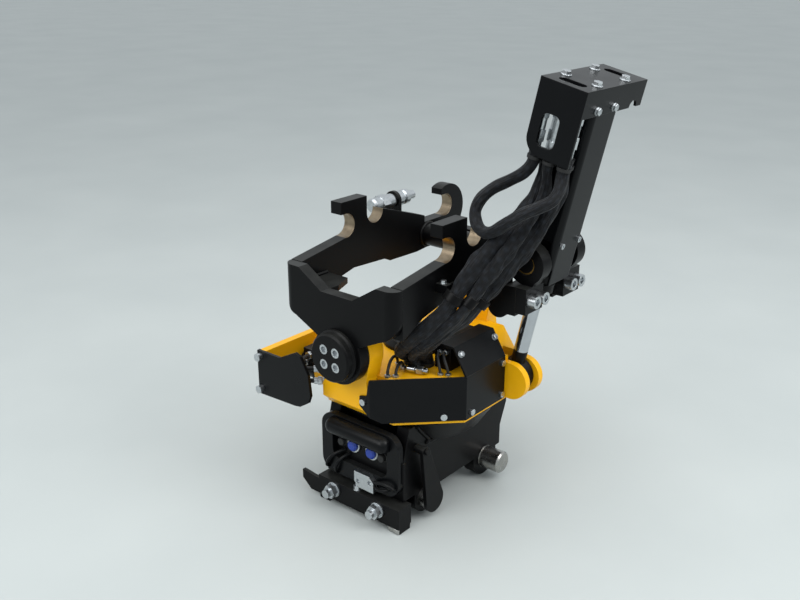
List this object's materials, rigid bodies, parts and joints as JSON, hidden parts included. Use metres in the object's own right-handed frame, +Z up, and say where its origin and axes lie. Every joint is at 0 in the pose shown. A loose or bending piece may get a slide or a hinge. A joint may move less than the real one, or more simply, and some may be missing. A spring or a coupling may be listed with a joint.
{
  "type": "excavator tilt rotator",
  "caption": "Tilt rotator between an excavator arm and its tool: pin seats on a tilting bracket with a side cylinder, over a slewing hitch with cross pins.",
  "frame": {"origin": "on the slew axis, at the level of the surface the hitch stands on", "axes": "+Z up along the slew axis, +Y from the front tilt axle cap to the rear one, +X to the side of the tilt cylinder along the lower pins"},
  "size_m": [0.717, 0.691, 1.0992],
  "materials": {
    "black_paint": "satin black paint on steel plate and castings",
    "yellow_paint": "semi gloss yellow paint on cast steel",
    "bare_steel": "turned and ground bare steel",
    "zinc_plate": "bright zinc plating on fasteners and fittings",
    "hard_chrome": "hard chrome plated rod",
    "bronze": "cast bronze bush",
    "hose_sleeve": "woven textile sleeve over rubber hose",
    "blue_plastic": "moulded blue dust cap"
  },
  "bodies": {
    "hitch": {"hitch_head": "black_paint", "hitch_plate_left": "black_paint", "hitch_plate_right": "black_paint", "hitch_walls": "black_paint", "front_pin": "bare_steel", "rear_pin": "bare_steel", "pin_flag": "black_paint", "flag_bolts": "black_paint", "coupling_box": "black_paint", "coupling_block": "black_paint", "coupling_caps": "blue_plastic", "coupling_manifold": "zinc_plate", "front_bar": "black_paint", "bar_bolts": "zinc_plate", "swivel_core": "bare_steel", "worm_wheel": "bare_steel"},
    "housing": {"housing": "yellow_paint", "slew_bush": "bronze", "slew_bearing": "bare_steel", "swivel_sleeve": "black_paint", "worm_bearings": "bare_steel", "slew_motor": "black_paint", "guard_plate": "black_paint", "guard_bolts": "zinc_plate", "tilt_bushes": "bronze", "clevis_pin": "zinc_plate", "valve_block": "black_paint", "side_cover": "black_paint", "upper_cover": "black_paint", "cover_screws": "zinc_plate"},
    "worm": {"worm": "bare_steel"},
    "upper_bracket": {"bracket_left": "black_paint", "bracket_right": "black_paint", "bracket_front": "black_paint", "bracket_rear": "black_paint", "bracket_gussets": "black_paint", "cross_tube": "black_paint", "tilt_axles": "bare_steel", "axle_caps": "black_paint", "cap_bolts": "zinc_plate", "outrigger": "black_paint", "trunnion_blocks": "black_paint", "trunnion_bushes": "bronze", "trunnion_bolts": "zinc_plate", "quick_coupling": "zinc_plate", "coupling_holder": "black_paint", "hose_clamp": "black_paint", "hoses_lower": "hose_sleeve", "hoses_upper": "hose_sleeve"},
    "barrel": {"barrel": "black_paint", "gland": "black_paint", "barrel_cap": "black_paint", "tower_frames": "black_paint", "tower_cover": "black_paint", "tower_head": "black_paint", "tower_bolts": "zinc_plate", "tower_fittings": "zinc_plate", "hose_loop": "hose_sleeve"},
    "rod": {"piston_rod": "hard_chrome", "rod_eye": "black_paint"}
  },
  "joints": [
    {"name": "slew", "type": "hinge", "parent": "hitch", "child": "housing", "pos_m": [0, 0, 0.33], "axis": [0, 0, 1], "continuous": true},
    {"name": "tilt", "type": "hinge", "parent": "housing", "child": "upper_bracket", "pos_m": [0, 0, 0.456], "axis": [0, 1, 0], "range_deg": [-30, 30], "deforming": ["hoses_lower"]},
    {"name": "barrel_swing", "type": "hinge", "parent": "upper_bracket", "child": "barrel", "pos_m": [0.30752, 0.09, 0.66533], "axis": [0, 1, 0], "range_deg": [-5.8, 5.8], "deforming": ["hoses_upper"]},
    {"name": "rod_slide", "type": "slide", "parent": "barrel", "child": "rod", "axis": [0.2215, 0, 0.9751], "range_m": [-0.137, 0.137]},
    {"name": "worm_spin", "type": "hinge", "parent": "housing", "child": "worm", "pos_m": [0, -0.166, 0.33], "axis": [1, 0, 0], "continuous": true}
  ],
  "couplings": [
    {"joint": "barrel_swing", "follows": "tilt", "ratio": -0.1908},
    {"joint": "rod_slide", "follows": "tilt", "m_per_rad": 0.2606},
    {"joint": "worm_spin", "follows": "slew", "ratio": 40}
  ]
}
